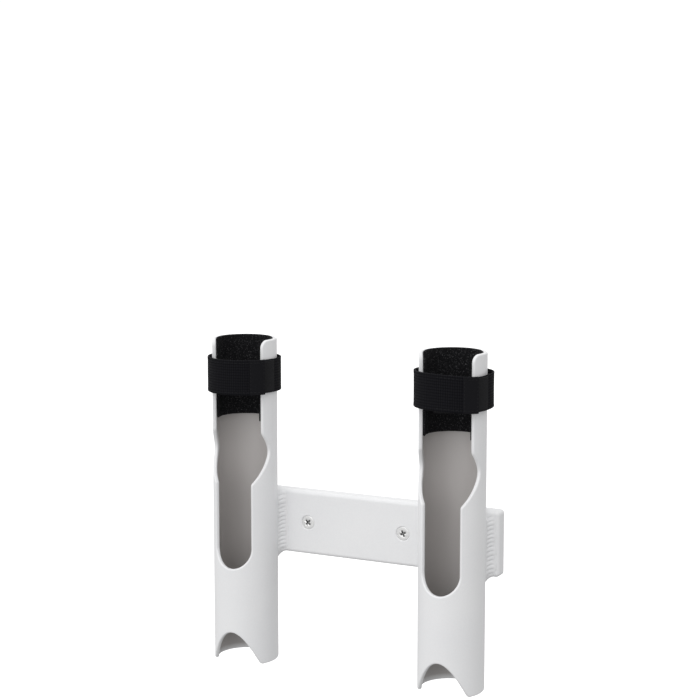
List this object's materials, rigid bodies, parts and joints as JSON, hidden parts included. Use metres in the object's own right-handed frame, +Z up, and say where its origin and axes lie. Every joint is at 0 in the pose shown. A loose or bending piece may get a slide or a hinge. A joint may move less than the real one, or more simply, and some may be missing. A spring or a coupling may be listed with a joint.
{
  "type": "wall-mounted rod holder",
  "caption": "Wall-mounted fishing rod holder: slotted tubes welded to a crossbar, each with a soft liner and a hook-and-loop strap across its slot.",
  "frame": {"origin": "centre of the crossbar's back face, on the wall", "axes": "+Z up along the tubes, +X to the right of someone facing the holder, +Y into the wall"},
  "size_m": [0.2414, 0.0844, 0.2575],
  "materials": {
    "powder_coat": "satin",
    "liner_felt": "matte",
    "webbing": "matte",
    "hook_tape": "matte",
    "loop_tape": "matte",
    "screw_steel": "satin",
    "rivet_metal": "satin"
  },
  "bodies": {
    "root": {"crossbar": "powder_coat", "left_inner_weld": "powder_coat", "left_liner": "liner_felt", "left_outer_weld": "powder_coat", "left_rivet_washer": "rivet_metal", "left_strap_band": "webbing", "left_strap_rivet": "rivet_metal", "left_tube": "powder_coat", "left_wall_screw": "screw_steel", "right_inner_weld": "powder_coat", "right_liner": "liner_felt", "right_outer_weld": "powder_coat", "right_rivet_washer": "rivet_metal", "right_strap_band": "webbing", "right_strap_rivet": "rivet_metal", "right_tube": "powder_coat", "right_wall_screw": "screw_steel"},
    "left_flap": {"left_strap_flap": "webbing", "left_hook_patch": "hook_tape"},
    "left_tab": {"left_strap_tab": "webbing", "left_loop_patch": "loop_tape"},
    "right_flap": {"right_strap_flap": "webbing", "right_hook_patch": "hook_tape"},
    "right_tab": {"right_strap_tab": "webbing", "right_loop_patch": "loop_tape"}
  },
  "joints": [
    {"name": "left_flap_peel", "type": "hinge", "parent": "root", "child": "left_flap", "pos_m": [-0.1158, -0.0277, 0.1187], "axis": [0, 0, -1], "range_deg": [0, 120]},
    {"name": "left_tab_peel", "type": "hinge", "parent": "root", "child": "left_tab", "pos_m": [-0.0623, -0.0272, 0.1187], "axis": [0, 0, 1], "range_deg": [0, 72]},
    {"name": "right_flap_peel", "type": "hinge", "parent": "root", "child": "right_flap", "pos_m": [0.062, -0.0277, 0.1187], "axis": [0, 0, -1], "range_deg": [0, 120]},
    {"name": "right_tab_peel", "type": "hinge", "parent": "root", "child": "right_tab", "pos_m": [0.1155, -0.0272, 0.1187], "axis": [0, 0, 1], "range_deg": [0, 72]}
  ],
  "couplings": [
    {"joint": "left_tab_peel", "follows": "left_flap_peel", "ratio": 0.6},
    {"joint": "right_tab_peel", "follows": "right_flap_peel", "ratio": 0.6}
  ]
}
